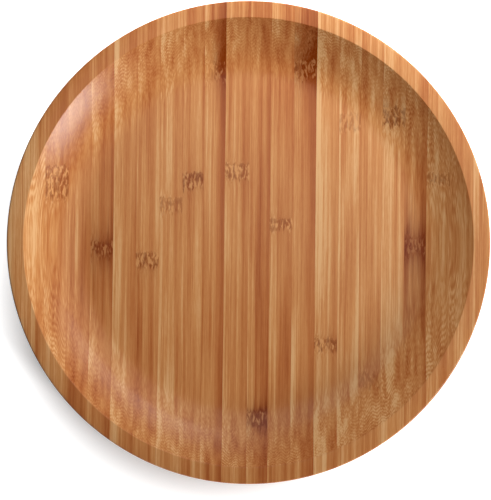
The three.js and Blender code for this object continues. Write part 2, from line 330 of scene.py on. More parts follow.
def drawn_out(tree, place, patterns):
    """Soft random patterns on one place, each drawn out along the strip by its own waves."""
    made = {}
    for name, (waves, look) in patterns.items():
        spot = add(tree, "ShaderNodeVectorMath", [place, waves], operation="MULTIPLY")
        made[name] = add(tree, "ShaderNodeTexNoise", {"Vector": spot, "Scale": 1.0, **look})
    return made


def ring_edges(tree, patterns, height, place, fade):
    """Where the ring is: it runs from a ragged line down to a frayed foot, and fades out beyond both. Gives
    the height over its line, what is under the line and over the foot, and the fading above and below."""
    wave, ragged, frayed = (patterns[name] for name in ("wave", "ragged", "frayed"))
    ring_top, ring_depth = place[:2]
    line = add(tree, "ShaderNodeMath", [wave, WAVE_DEPTH, -WAVE_DEPTH / 2], operation="MULTIPLY_ADD")
    line = add(tree, "ShaderNodeMath", [ragged, RAGGED_DEPTH, line], operation="MULTIPLY_ADD")
    line = add(tree, "ShaderNodeMath", [line, ring_top], operation="ADD")
    line = add(tree, "ShaderNodeMath", [line, RAGGED_DEPTH / 2], operation="SUBTRACT")
    over = add(tree, "ShaderNodeMath", [height, line], operation="SUBTRACT")
    foot = add(tree, "ShaderNodeMath", [over, ring_depth], operation="ADD")
    foot = add(tree, "ShaderNodeMath", [frayed, FRAYED_DEPTH, foot], operation="MULTIPLY_ADD")
    foot = add(tree, "ShaderNodeMath", [foot, FRAYED_DEPTH / 2], operation="SUBTRACT")
    under_line = add(tree, "ShaderNodeMapRange", {
        "Value": over, "From Min": -0.7, "From Max": 0.7, "To Min": 1.0, "To Max": 0.0},
        interpolation_type="SMOOTHSTEP")
    over_foot = add(tree, "ShaderNodeMapRange", {"Value": foot, "From Min": -1.5, "From Max": 1.5},
                    interpolation_type="SMOOTHSTEP")
    reach = add(tree, "ShaderNodeMapRange", {
        "Value": ragged, "From Min": 0.35, "From Max": 0.65, "To Min": 1.7, "To Max": 0.6})
    under = add(tree, "ShaderNodeMath", [0.0, over], operation="SUBTRACT")
    fading = []
    for depth, length in ((under, fade[0]), (foot, fade[1])):
        beyond = add(tree, "ShaderNodeMath", [depth, 0.0], operation="MINIMUM")
        beyond = add(tree, "ShaderNodeMath", [beyond, reach], operation="MULTIPLY")
        beyond = add(tree, "ShaderNodeMath", [beyond, length], operation="DIVIDE")
        fading.append(add(tree, "ShaderNodeMath", [beyond], operation="EXPONENT"))
    return over, under_line, over_foot, fading


def fibres(tree, cane, patterns, fading, strength):
    """The fibres drift and sway slowly along the strip, and are crimped where the ring is."""
    crimp = add(tree, "ShaderNodeMath", fading, operation="MULTIPLY")
    crimp = add(tree, "ShaderNodeMath", [crimp, 3.0], operation="POWER")
    crimp = add(tree, "ShaderNodeMath", [crimp, strength], operation="MULTIPLY")
    fibre = cane
    for name, reach, amount in (
            ("drift", (2.4, 0.0, 2.0), 1.0),
            ("sway", (0.9, 0.0, 0.8), 1.0),
            ("curl", (2.6, 0.0, 2.6), crimp)):
        shift = add(tree, "ShaderNodeVectorMath", [patterns[name].outputs["Color"], reach],
                    operation="MULTIPLY")
        shift = add(tree, "ShaderNodeVectorMath", {0: shift, "Scale": amount}, operation="SCALE")
        fibre = add(tree, "ShaderNodeVectorMath", [fibre, shift], operation="ADD")
    return add(tree, "ShaderNodeSeparateXYZ", [fibre])


def fibre_bundles(tree, fibre, width, from_left):
    """Bundles of fibre stand in staggered rows, which arch over the outer half of the strip, on its left.
    Gives the place among the rows, the bundles and their own shades."""
    off_centre = add(tree, "ShaderNodeMath", [width, -ARCH_PLACE, from_left], operation="MULTIPLY_ADD")
    arch = add(tree, "ShaderNodeMath", [off_centre, 2 * math.pi / ARCH_WIDTH], operation="MULTIPLY")
    arch = add(tree, "ShaderNodeMath", [arch], operation="COSINE")
    row = add(tree, "ShaderNodeMath", [arch, -ARCH_HEIGHT / 2, fibre.outputs["Z"]], operation="MULTIPLY_ADD")
    rising = add(tree, "ShaderNodeMath", [fibre.outputs["X"], 1 / BUNDLE_WIDTH], operation="MULTIPLY")
    rows_up = add(tree, "ShaderNodeMath", [row, 1 / BUNDLE_DEPTH], operation="MULTIPLY")
    falling = add(tree, "ShaderNodeMath", [rows_up, rising], operation="SUBTRACT")
    rising = add(tree, "ShaderNodeMath", [rows_up, rising], operation="ADD")
    lattice = add(tree, "ShaderNodeCombineXYZ", [rising, falling])
    bundles = add(tree, "ShaderNodeTexVoronoi", {"Vector": lattice, "Scale": 1.0, "Randomness": 0.6},
                  voronoi_dimensions="2D")
    bundle = add(tree, "ShaderNodeMapRange", {
        "Value": bundles.outputs["Distance"],
        "From Min": 0.12, "From Max": 0.55, "To Min": 1.0, "To Max": 0.0},
        interpolation_type="SMOOTHSTEP")
    return row, bundle, add(tree, "ShaderNodeSeparateColor", [bundles.outputs["Color"]])


def wood_light(tree, patterns, share, tones, row, bundle, own_shade):
    """How light the wood is: across the strip, in bands of 5 mm, in slow clouds and in streaks under a
    millimetre. On a slope, which cuts across the fibres, the rows of bundles show as nested light arches."""
    tone = add(tree, "ShaderNodeMapRange", {
        "Value": share, "From Max": 0.5, "To Min": tones[0], "To Max": tones[1]})
    tone = add(tree, "ShaderNodeMapRange", {
        "Value": share, "From Min": 0.5, "To Min": tone, "To Max": tones[2]})
    bands, clouds, streaks, flecks = (
        patterns[name] for name in ("bands", "clouds", "streaks", "flecks"))
    contrast = add(tree, "ShaderNodeMapRange", {
        "Value": share, "From Min": 0.35, "From Max": 0.8, "To Min": 0.3, "To Max": 0.1})
    facing = add(tree, "ShaderNodeTexCoord")
    facing = add(tree, "ShaderNodeSeparateXYZ", [facing.outputs["Normal"]])
    across_grain = add(tree, "ShaderNodeMapRange", {
        "Value": facing.outputs["Z"], "From Min": 0.9, "From Max": 0.99, "To Min": 1.0, "To Max": 0.0})
    ripple = add(tree, "ShaderNodeMath", [row, 2 * math.pi / ROW_DEPTH], operation="MULTIPLY")
    ripple = add(tree, "ShaderNodeMath", [bands, 9.0, ripple], operation="MULTIPLY_ADD")
    ripple = add(tree, "ShaderNodeMath", [streaks, 4.0, ripple], operation="MULTIPLY_ADD")
    ripple = add(tree, "ShaderNodeMath", [ripple], operation="SINE")
    rippled = add(tree, "ShaderNodeMapRange", {
        "Value": clouds, "From Min": 0.4, "From Max": 0.62, "To Min": 0.02, "To Max": 0.13})
    rippled = add(tree, "ShaderNodeMath", [rippled, across_grain], operation="MULTIPLY")
    clearer = add(tree, "ShaderNodeMath", [across_grain, 0.1, 0.5], operation="MULTIPLY_ADD")
    contrast = add(tree, "ShaderNodeMath", [contrast, clearer], operation="MULTIPLY")
    from_mean = add(tree, "ShaderNodeMath", [bundle, 0.45], operation="SUBTRACT")
    light = 0.07
    for pattern, amount in ((bands, 1.15), (clouds, 0.4), (streaks, 0.36), (flecks, 0.2), (own_shade, 0.12),
                            (from_mean, contrast), (ripple, rippled)):
        light = add(tree, "ShaderNodeMath", [pattern, amount, light], operation="MULTIPLY_ADD")
    return add(tree, "ShaderNodeMath", [light, tone], operation="MULTIPLY")


def ring_colours(tree, wood, patterns, share, place, dark, fade, edges, strength):
    """Colours the ring over the wood: shading above and below it, pale strokes of bare fibre in it, and two
    rows of red-brown strokes between them."""
    over, under_line, over_foot, fading = edges
    dark_above, dark_inside, dark_below = dark
    ring_depth, darker_side, edges_only = place[1], place[2], fade[2]
    strokes = patterns["strokes"]
    stroke = add(tree, "ShaderNodeMapRange", {
        "Value": strokes, "From Min": 0.4, "From Max": 0.5, "To Min": 1.0, "To Max": 0.0})
    straw = add(tree, "ShaderNodeMapRange", {"Value": strokes, "From Min": 0.525, "From Max": 0.615})
    level = add(tree, "ShaderNodeMath", [over, ring_depth], operation="DIVIDE")
    level = add(tree, "ShaderNodeMath", [strokes, 0.3, level], operation="MULTIPLY_ADD")
    level = add(tree, "ShaderNodeMath", [level, 2 * math.pi], operation="MULTIPLY")
    rows = add(tree, "ShaderNodeMath", [level], operation="SINE")
    rows = add(tree, "ShaderNodeMath", [rows], operation="ABSOLUTE")
    rows = add(tree, "ShaderNodeMapRange", {
        "Value": rows, "From Min": 0.1, "From Max": 0.6, "To Min": 0.35, "To Max": 1.0})
    stroke = add(tree, "ShaderNodeMath", [stroke, rows], operation="MULTIPLY")
    beside = 0.0
    for edge, fading_out, darkness in (
            (under_line, fading[0], dark_above), (over_foot, fading[1], dark_below)):
        beyond = add(tree, "ShaderNodeMath", [1.0, edge], operation="SUBTRACT")
        beyond = add(tree, "ShaderNodeMath", [beyond, fading_out], operation="MULTIPLY")
        beside = add(tree, "ShaderNodeMath", [beyond, darkness, beside], operation="MULTIPLY_ADD")
    inside = add(tree, "ShaderNodeMath", [under_line, over_foot], operation="MULTIPLY")
    within = add(tree, "ShaderNodeMath", [inside, dark_inside], operation="MULTIPLY")

    # A ring may be darker on one side of the strip, or at both edges only.
    lean = add(tree, "ShaderNodeMath", [share, 0.5], operation="SUBTRACT")
    lopsided = add(tree, "ShaderNodeMath", [darker_side], operation="ABSOLUTE")
    lopsided = add(tree, "ShaderNodeMath", [lopsided, -0.5, 1.0], operation="MULTIPLY_ADD")
    lopsided = add(tree, "ShaderNodeMath", [lean, darker_side, lopsided], operation="MULTIPLY_ADD")
    outwards = add(tree, "ShaderNodeMath", [lean], operation="ABSOLUTE")
    outwards = add(tree, "ShaderNodeMapRange", {
        "Value": outwards, "From Min": 0.12, "From Max": 0.42, "To Min": edges_only, "To Max": 0.0})
    outwards = add(tree, "ShaderNodeMath", [1.0, outwards], operation="SUBTRACT")
    beside = add(tree, "ShaderNodeMath", [beside, lopsided], operation="MULTIPLY")
    lopsided = add(tree, "ShaderNodeMath", [lopsided, 1.6], operation="MULTIPLY", use_clamp=True)
    within = add(tree, "ShaderNodeMath", [within, lopsided], operation="MULTIPLY")

    grainy = add(tree, "ShaderNodeMapRange", {
        "Value": patterns["streaks"], "From Min": 0.3, "From Max": 0.7, "To Min": 0.7, "To Max": 1.2})
    shaded = add(tree, "ShaderNodeMath", [beside, 1.25, within], operation="MULTIPLY_ADD")
    shaded = add(tree, "ShaderNodeMath", [shaded, outwards], operation="MULTIPLY")
    shaded = add(tree, "ShaderNodeMath", [shaded, grainy], operation="MULTIPLY", use_clamp=True)
    straw = add(tree, "ShaderNodeMath", [straw, inside], operation="MULTIPLY")
    straw = add(tree, "ShaderNodeMath", [straw, strength], operation="MULTIPLY")
    clearer = add(tree, "ShaderNodeMath", [dark_inside, -0.7, 0.87], operation="MULTIPLY_ADD")
    straw = add(tree, "ShaderNodeMath", [straw, clearer], operation="MULTIPLY")
    stroke = add(tree, "ShaderNodeMath", [stroke, within], operation="MULTIPLY")
    stroke = add(tree, "ShaderNodeMath", [stroke, outwards], operation="MULTIPLY", use_clamp=True)
    colour = wood
    for share_of_it, code in ((shaded, "#772D00"), (straw, "#DDA064"), (stroke, "#702700")):
        colour = add(tree, "ShaderNodeMix", {"Factor": share_of_it, 6: colour, 7: linear(code)},
                     data_type="RGBA").outputs[2]
    return colour


def bamboo(name, turn, dull):
    """Strips of steamed, caramel-coloured bamboo glued side by side. The eye sees soft light and dark bands
    along each strip, the bundles of fibre 1 to 2 mm apart, which turn into nested arches where the surface
    is cut across them, and the dark crimped ring of each cane."""
    material, tree, shader, board = surface(name)
    board.inputs["Rotation"].default_value = (0, 0, turn)
    point = add(tree, "ShaderNodeSeparateXYZ", [board])
    reads = [add(tree, "ShaderNodeAttribute", attribute_name=mark) for mark in MARKS]
    marks = [tuple(add(tree, "ShaderNodeSeparateXYZ", [read.outputs["Vector"]]).outputs) for read in reads]
    (left, width, seed), tones, place, dark, fade = marks

    # Each strip comes from its own cane, so its grain is looked up somewhere else.
    from_left = add(tree, "ShaderNodeMath", [point.outputs["X"], left], operation="SUBTRACT")
    share = add(tree, "ShaderNodeMath", [from_left, width], operation="DIVIDE")
    elsewhere = add(tree, "ShaderNodeVectorMath", {0: (17.3, 61.7, 7.9), "Scale": seed}, operation="SCALE")
    cane = add(tree, "ShaderNodeVectorMath", [board, elsewhere], operation="ADD")
    patterns = drawn_out(tree, cane, CANE_PATTERNS)

    # The darker a ring, the more the fibres are crimped there. The finest patterns follow the fibres.
    edges = ring_edges(tree, patterns, point.outputs["Y"], place, fade)
    strength = add(tree, "ShaderNodeMath", [dark[0], dark[1]], operation="ADD")
    strength = add(tree, "ShaderNodeMath", [strength, 2.5], operation="MULTIPLY", use_clamp=True)
    fibre = fibres(tree, cane, patterns, edges[-1], strength)
    row, bundle, own_shade = fibre_bundles(tree, fibre, width, from_left)
    along_fibre = add(tree, "ShaderNodeCombineXYZ", [fibre.outputs["X"], fibre.outputs["Y"], row])
    patterns.update(drawn_out(tree, along_fibre, FIBRE_PATTERNS))
    light = wood_light(tree, patterns, share, tones, row, bundle, own_shade)

    # Glue line: a quarter of a millimetre of darker glue between strips.
    to_right = add(tree, "ShaderNodeMath", [width, from_left], operation="SUBTRACT")
    to_edge = add(tree, "ShaderNodeMath", [from_left, to_right], operation="MINIMUM")
    glue = add(tree, "ShaderNodeMapRange", {
        "Value": to_edge, "From Max": GLUE_LINE, "To Min": 0.82, "To Max": 1.0})
    light = add(tree, "ShaderNodeMath", [light, glue], operation="MULTIPLY")
    light = add(tree, "ShaderNodeMapRange", {"Value": light, "From Min": 0.4, "From Max": 1.6})
    caramel = add(tree, "ShaderNodeValToRGB", [light])
    ramp = caramel.color_ramp.elements
    for spot, code in CARAMEL[1:-1]:
        ramp.new(spot)
    for element, (spot, code) in zip(ramp, CARAMEL):
        element.color = linear(code)
    colour = ring_colours(tree, caramel, patterns, share, place, dark, fade, edges, strength)

    # Lacquer: satin, a little duller over the open bundles, which it leaves standing a few hundredths proud.
    satin = add(tree, "ShaderNodeMapRange", {
        "Value": bundle, "To Min": dull - 0.03, "To Max": dull + 0.04})
    relief = add(tree, "ShaderNodeMath", [bundle, 0.5, patterns["streaks"]], operation="MULTIPLY_ADD")
    relief = add(tree, "ShaderNodeMath", [glue, 1.5, relief], operation="MULTIPLY_ADD")
    relief = add(tree, "ShaderNodeBump", {"Height": relief, "Strength": 0.5, "Distance": 0.00003})
    feed(tree, shader, {"Base Color": colour, "Roughness": satin, "Normal": relief, "IOR": 1.6})
    return material


chance = random.Random(31)
base_low, base_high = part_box("base")
base_radius = (base_high.x - base_low.x) / 2 / MM
base_bottom, base_top = base_low.z / MM, base_high.z / MM
BASE_EDGE = 3.0
STRIP_COUNT = 13
BASE_CANES = 40.5
base_strips = []
for i in range(STRIP_COUNT):
    lightness = chance.uniform(0.9, 1.1)
    tone = (lightness + chance.uniform(0.0, 0.2), lightness, lightness - chance.uniform(0.0, 0.15))
    darkness = chance.choice((0.0, 0.2, 0.3, 0.6))
    place = (chance.uniform(-110, 110), chance.uniform(8, 13), chance.uniform(-0.8, 0.8))
    fade = (chance.uniform(6, 18), chance.uniform(6, 18), 0)
    base_strips.append(strip_of(
        (i - STRIP_COUNT / 2) * STRIP_WIDTH, STRIP_WIDTH, i + BASE_CANES, tone,
        place, (darkness, darkness * 1.1, darkness * 0.6), fade))

# The base is oiled rather than lacquered, so it is duller. Its strips lie across those of the tray.
base_bamboo = bamboo("Oiled caramel bamboo", turn=math.radians(-90), dull=0.55)
base_section = [
    (0, base_bottom),
    *arc(base_radius - BASE_EDGE, base_bottom + BASE_EDGE, BASE_EDGE, -90, 0, 8),
    *arc(base_radius - BASE_EDGE, base_top - BASE_EDGE, BASE_EDGE, 0, 90, 8),
    (0, base_top),
]
base = turned("bamboo_base", lambda angle: base_section, 240)
drill_tree = drilled_in_a_circle()
screw_low, screw_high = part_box("base_screw_1")
screw_spot = (screw_low + screw_high) / 2
screw_circle = math.hypot(screw_spot.x, screw_spot.y)
four_corners = {"Count": 4, "Circle Radius": screw_circle, "First Angle": math.radians(45)}
PILOT_RADIUS = 2.05
PILOT_PAST_POINT = 0.5
DRIVER_HOLE_RADIUS = 10.0
DRILL_START = 20.0
shaped(base, drill_tree, {
    **four_corners, "Hole Radius": PILOT_RADIUS * MM,
    "Bottom": screw_low.z - PILOT_PAST_POINT * MM, "Top": DRILL_START * MM, "Finish": base_bamboo})
shaped(base, drill_tree, {
    **four_corners, "Count": 1, "First Angle": 0.0, "Hole Radius": DRIVER_HOLE_RADIUS * MM,
    "Bottom": 0.0, "Top": DRILL_START * MM, "Finish": base_bamboo})
lay_strips(base, 1, base_strips)
smoothed(base, 40)
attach(base, "base")
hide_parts("base")

# ---- Lower bearing plate ----
# A square of 1.2 mm bright zinc-plated steel, pressed up into a ring with a groove for the balls. The inner
# edge is drawn up through the upper plate's hole and rolled out over it, so that the two can't part.


def bent(corners):
    """The middle line of a bent sheet: (radius, height, bend radius) corners in mm, joined by arcs."""
    points = [corners[0][:2]]
    for before, corner, after in zip(corners, corners[1:], corners[2:]):
        here = Vector(corner[:2])
        back = (Vector(before[:2]) - here).normalized()
        on = (Vector(after[:2]) - here).normalized()
        if corner[2] == 0:
            points.append(tuple(here))
            continue
        half = back.angle(on) / 2
        reach = corner[2] / math.tan(half)
        centre = here + (back + on).normalized() * corner[2] / math.sin(half)
        start = here + back * reach - centre
        end = here + on * reach - centre
        sweep = start.angle_signed(end)
        for i in range(BEND_STEPS + 1):
            angle = -sweep * i / BEND_STEPS
            points.append(tuple(centre + Vector((
                start.x * math.cos(angle) - start.y * math.sin(angle),
                start.x * math.sin(angle) + start.y * math.cos(angle)))))
    points.append(corners[-1][:2])
    return points


def sheet_section(points, thickness):
    """The outline of a sheet along its middle line, with its sheared edges just broken."""
    half = thickness / 2
    sides = []
    for i, (r, z) in enumerate(points):
        before = Vector(points[max(i - 1, 0)])
        after = Vector(points[min(i + 1, len(points) - 1)])
        along = (after - before).normalized()
        sides.append((Vector((r, z)), along, Vector((-along.y, along.x))))
    front = [middle - across * half for middle, along, across in sides]
    back = [middle + across * half for middle, along, across in sides]
    for face in (front, back):
        face[0] += sides[0][1] * SHEARED_EDGE
        face[-1] -= sides[-1][1] * SHEARED_EDGE
    (start, _, over_start), (end, _, over_end) = sides[0], sides[-1]
    edge = half - SHEARED_EDGE
    outline = [
        *front, end - over_end * edge, end + over_end * edge,
        *back[::-1], start + over_start * edge, start - over_start * edge]
    return [tuple(point) for point in outline]


def square_reach(angle):
    """How far the plate's rounded square edge is from the axis, in mm, at an angle."""
    angle = abs((angle + math.pi / 4) % (math.pi / 2) - math.pi / 4)
    corner = Vector((PLATE_HALF - PLATE_CORNER, PLATE_HALF - PLATE_CORNER))
    if PLATE_HALF * math.tan(angle) <= corner.y:
        return PLATE_HALF / math.cos(angle)
    along = corner.dot(Vector((math.cos(angle), math.sin(angle))))
    return along + math.sqrt(along ** 2 - corner.length_squared + PLATE_CORNER ** 2)


def zinc_plate(name, finish_code, bloom_code):
    """Bright zinc plating on cold-rolled sheet: a cool soft mirror, with faint rolling lines and a cloudy
    bluish bloom where the passivation is thicker."""
    material, tree, shader, grid = surface(name)
    cloud = add(tree, "ShaderNodeTexNoise", {"Vector": grid, "Scale": 0.06, "Detail": 4.0, "Roughness": 0.6})
    share = add(tree, "ShaderNodeMapRange", {"Value": cloud, "From Min": 0.35, "From Max": 0.65})
    shade = add(tree, "ShaderNodeMix", {"Factor": share, 6: linear(finish_code), 7: linear(bloom_code)},
                data_type="RGBA")
    spot = add(tree, "ShaderNodeVectorMath", [grid, (0.12, 5.0, 0.8)], operation="MULTIPLY")
    rolling = add(tree, "ShaderNodeTexNoise", {"Vector": spot, "Scale": 1.0, "Detail": 2.0})
    gloss = add(tree, "ShaderNodeMath", [cloud, 0.2, 0.14], operation="MULTIPLY_ADD")
    gloss = add(tree, "ShaderNodeMath", [rolling, 0.16, gloss], operation="MULTIPLY_ADD")
    relief = add(tree, "ShaderNodeBump", {"Height": rolling, "Strength": 0.4, "Distance": 0.00002})
    feed(tree, shader, {
        "Base Color": shade.outputs[2], "Metallic": 1.0, "Roughness": gloss, "Normal": relief})
    return material


# Sizes of the pressing, in mm and degrees. Radii are from the axis, and heights from its mounting face.
SHEET = 1.2
BEND_STEPS = 6
SHEARED_EDGE = 0.12
BALL_CIRCLE = 57.0
GROOVE_CENTRE = 3.95
GROOVE_RADIUS = 3.35
GROOVE_HALF = 50.0
GROOVE_BEND = 0.8
SHOULDER = 2.3
STEP_TOP = 63.75
STEP_FOOT = 65.45
STEP_BEND = 1.1
STEP_END = 67.6
LIP_EDGE = 50.0
LIP_INNER = 46.4
LIP_HEIGHT = 7.1
PLATE_CORNER = 12.0
PLATE_FACETS = 288
PLATE_HOLE_RADIUS = 2.0
PUNCH_OUTSIDE = 3.0
PUNCH_INSIDE = 4.0
plate_low, plate_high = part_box("lower_bearing_plate")
PLATE_HALF = (plate_high.x - plate_low.x) / 2 / MM
mounting_face = plate_low.z / MM


def plate_section(angle, inner_edge):
    """Half the pressed plate cut through at an angle, lying on its mounting face."""
    groove = arc(BALL_CIRCLE, GROOVE_CENTRE, GROOVE_RADIUS, -90 - GROOVE_HALF, -90 + GROOVE_HALF, 16)
    half = math.radians(GROOVE_HALF)
    lead = (SHOULDER - groove[0][1]) / math.tan(half)
    corners = inner_edge + [
        (groove[0][0] - lead, SHOULDER, GROOVE_BEND),
        *((r, z, 0) for r, z in groove),
        (groove[-1][0] + lead, SHOULDER, GROOVE_BEND),
        (STEP_TOP, SHOULDER, STEP_BEND),
        (STEP_FOOT, SHEET / 2, STEP_BEND),
        (STEP_END, SHEET / 2, 0),
        (square_reach(angle), SHEET / 2),
    ]
    return sheet_section(bent(corners), SHEET)


lip = [(LIP_EDGE, LIP_HEIGHT), (LIP_INNER, LIP_HEIGHT, 0.75), (LIP_INNER, SHOULDER, 1.0)]
zinc = zinc_plate("Bright zinc-plated sheet steel", "#B9BDC0", "#A9B2BA")
lower_plate = turned("lower_plate", lambda angle: [
    (r, z + mounting_face) for r, z in plate_section(angle, lip)], PLATE_FACETS)
shaped(lower_plate, drill_tree, {
    **four_corners, "Hole Radius": PLATE_HOLE_RADIUS * MM, "Bottom": (mounting_face - PUNCH_OUTSIDE) * MM,
    "Top": (mounting_face + PUNCH_INSIDE) * MM, "Finish": zinc})
smoothed(lower_plate, 42)
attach(lower_plate, "base")
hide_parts("lower_bearing_plate")

# ---- Screws of the lower plate ----
# Four pan-head wood screws with a cross recess and a rolled thread, driven down through the plate's corners.

# Sizes of a screw in mm: its rolled thread, its pan head, its point and the plain neck under the head.
THREAD_PITCH = 1.3
THREAD_CREST = 1.75
THREAD_ROOT = 1.25
RIDGE_SHARPNESS = 3.2
THREAD_STEPS = 50
HEAD_RADIUS = 3.5
HEAD_HEIGHT = 2.1
HEAD_EDGE = 0.15
CROWN_BEND = 1.1
POINT_LENGTH = 2.5
POINT_RADIUS = 0.02
NECK = 0.8
screw_length = (screw_high.z - screw_low.z) / MM - HEAD_HEIGHT


def screw_section(angle):
    """A screw cut through at an angle, with its head's underside at height 0: the thread winds round it."""
    points = [(0, -screw_length)]
    for i in range(1, THREAD_STEPS + 1):
        z = -screw_length + (screw_length - NECK) * i / THREAD_STEPS
        turns = z / THREAD_PITCH - angle / (2 * math.pi)
        ridge = max(0.0, 1 - abs(turns % 1 - 0.5) * RIDGE_SHARPNESS)
        taper = min(1.0, (z + screw_length) / POINT_LENGTH)
        radius = taper * (THREAD_ROOT + (THREAD_CREST - THREAD_ROOT) * ridge)
        points.append((max(POINT_RADIUS, radius), z))
    points += [
        (1.6, -NECK + 0.3),
        (1.7, 0),
        (HEAD_RADIUS - HEAD_EDGE, 0),
        (HEAD_RADIUS, HEAD_EDGE),
        *arc(HEAD_RADIUS - CROWN_BEND, HEAD_HEIGHT - 1.2, CROWN_BEND, 0, 80, 8),
        (1.2, HEAD_HEIGHT - 0.02),
        (0, HEAD_HEIGHT),
    ]
    return points


def recessed(screw):
    """Punches the tapered cross recess into a screw's head."""
    cutters = []
    for along, across in ((RECESS_SPAN, RECESS_SLOT), (RECESS_SLOT, RECESS_SPAN)):
        corners = []
        for z, share in ((HEAD_HEIGHT - RECESS_DEPTH, 0.6), (HEAD_HEIGHT + 0.4, 1.12)):
            x, y = along / 2 * share * MM, across / 2 * share * MM
            corners += [(-x, -y, z * MM), (x, -y, z * MM), (x, y, z * MM), (-x, y, z * MM)]
        sides = [(0, 3, 2, 1), (4, 5, 6, 7), (0, 1, 5, 4), (1, 2, 6, 5), (2, 3, 7, 6), (3, 0, 4, 7)]
        cutters.append(piece_of("cross_punch", corners, sides))
        cut = screw.modifiers.new("Cross", "BOOLEAN")
        cut.object = cutters[-1]
        cut.solver = "EXACT"
    kept_as_mesh(screw)
    for cutter in cutters:
        bpy.data.objects.remove(cutter)
    return screw


RECESS_SPAN = 3.6
RECESS_SLOT = 0.9
RECESS_DEPTH = 1.3
screw_zinc = zinc_plate("Zinc-plated screw steel", "#C2C3C0", "#B7B5A8")
lower_screws = recessed(turned("lower_screws", screw_section, 32))
seat = (mounting_face + SHEET) * MM
for corner in lower_screws.data.vertices:
    corner.co.z += seat
shaped(lower_screws, circle_tree, {**four_corners, "Finish": screw_zinc})
smoothed(lower_screws, 38)
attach(lower_screws, "base")
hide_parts(*(f"base_screw_{i + 1}" for i in range(4)))

# ---- Ball cage ----
# A flat ring of natural nylon with a round pocket for each of the 24 balls. It keeps them evenly apart.

BALL_COUNT = 24
cage_low, cage_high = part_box("ball_cage")
CAGE_INNER = 53.0
CAGE_EDGE = 0.25
POCKET_RADIUS = 2.7
cage_outer = cage_high.x / MM
cage_bottom, cage_top = cage_low.z / MM, cage_high.z / MM
cage_section = [
    *arc(cage_outer - CAGE_EDGE, cage_bottom + CAGE_EDGE, CAGE_EDGE, -90, 0, 3),
    *arc(cage_outer - CAGE_EDGE, cage_top - CAGE_EDGE, CAGE_EDGE, 0, 90, 3),
    *arc(CAGE_INNER + CAGE_EDGE, cage_top - CAGE_EDGE, CAGE_EDGE, 90, 180, 3),
    *arc(CAGE_INNER + CAGE_EDGE, cage_bottom + CAGE_EDGE, CAGE_EDGE, 180, 270, 3),
]

# Natural nylon: milky and faintly yellow, with a soft moulded sheen and a smear of clear grease.
nylon, tree, shader, grid = surface("Moulded natural nylon")
milk = add(tree, "ShaderNodeTexNoise", {"Vector": grid, "Scale": 0.12, "Detail": 3.0})
shade = add(tree, "ShaderNodeMix", {"Factor": milk, 6: linear("#EAE7DB"), 7: linear("#DDD6C0")},
            data_type="RGBA")
gloss = add(tree, "ShaderNodeMapRange", {
    "Value": milk, "From Min": 0.35, "From Max": 0.65, "To Min": 0.3, "To Max": 0.55})
grain = add(tree, "ShaderNodeTexNoise", {"Vector": grid, "Scale": 2.0, "Detail": 2.0})
relief = add(tree, "ShaderNodeBump", {"Height": grain, "Strength": 0.25, "Distance": 0.00005})
feed(tree, shader, {"Base Color": shade.outputs[2], "Roughness": gloss, "Normal": relief})
ball_places = {"Count": BALL_COUNT, "Circle Radius": BALL_CIRCLE * MM, "First Angle": 0.0}
cage = turned("nylon_cage", lambda angle: cage_section, 192)
shaped(cage, drill_tree, {
    **ball_places, "Hole Radius": POCKET_RADIUS * MM,
    "Bottom": cage_low.z - MM, "Top": cage_high.z + MM, "Finish": nylon})
smoothed(cage, 50)
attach(cage, "ball_ring")
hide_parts("ball_cage")

# ---- Balls ----
# Twenty-four ground and polished bearing balls of hardened steel, 5 mm across, loose in the cage's pockets.

ball_low, ball_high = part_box("ball_01")
ball_spot = (ball_low + ball_high) / 2
BALL_RADIUS = 2.5
ball_section = [
    (0, ball_spot.z / MM - BALL_RADIUS),
    *arc(0, ball_spot.z / MM, BALL_RADIUS, -90, 90, 18)[1:-1],
    (0, ball_spot.z / MM + BALL_RADIUS),
]

# Polished steel: a clear mirror, broken only by a film of grease that dulls it in patches 2 mm across.
polished, tree, shader, grid = surface("Polished bearing steel")
film = add(tree, "ShaderNodeTexNoise", {"Vector": grid, "Scale": 0.5, "Detail": 3.0})
shade = add(tree, "ShaderNodeMix", {"Factor": film, 6: linear("#D3D5D8"), 7: linear("#C3C4C4")},
            data_type="RGBA")
gloss = add(tree, "ShaderNodeMapRange", {
    "Value": film, "From Min": 0.4, "From Max": 0.7, "To Min": 0.06, "To Max": 0.24})
feed(tree, shader, {"Base Color": shade.outputs[2], "Metallic": 1.0, "Roughness": gloss})
balls = turned("bearing_balls", lambda angle: ball_section, 28)
shaped(balls, circle_tree, {**ball_places, "Finish": polished})
smoothed(balls, 60)
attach(balls, "ball_ring")
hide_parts(*(f"ball_{i + 1:02d}" for i in range(BALL_COUNT)))

# ---- Upper bearing plate and its screws ----
# The same pressing, turned over under the tray. Its hole is left plain, and the lower plate's lip runs in
# it. Four screws like those of the lower plate hold it to the tray from below.

under_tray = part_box("upper_bearing_plate")[1].z / MM
PLAIN_HOLE = [(47.5, SHOULDER)]
upper_plate = turned("upper_plate", lambda angle: [
    (r, under_tray - z) for r, z in plate_section(angle, PLAIN_HOLE)][::-1], PLATE_FACETS)
shaped(upper_plate, drill_tree, {
    **four_corners, "Hole Radius": PLATE_HOLE_RADIUS * MM, "Bottom": (under_tray - PUNCH_INSIDE) * MM,
    "Top": (under_tray + PUNCH_OUTSIDE) * MM, "Finish": zinc})
smoothed(upper_plate, 42)
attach(upper_plate, "turntable")
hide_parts("upper_bearing_plate")

upper_screws = recessed(turned("upper_screws", screw_section, 32))
for corner in upper_screws.data.vertices:
    corner.co.y = -corner.co.y
    corner.co.z = (under_tray - SHEET) * MM - corner.co.z
shaped(upper_screws, circle_tree, {**four_corners, "Finish": screw_zinc})
smoothed(upper_screws, 38)
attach(upper_screws, "turntable")
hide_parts(*(f"tray_screw_{i + 1}" for i in range(4)))

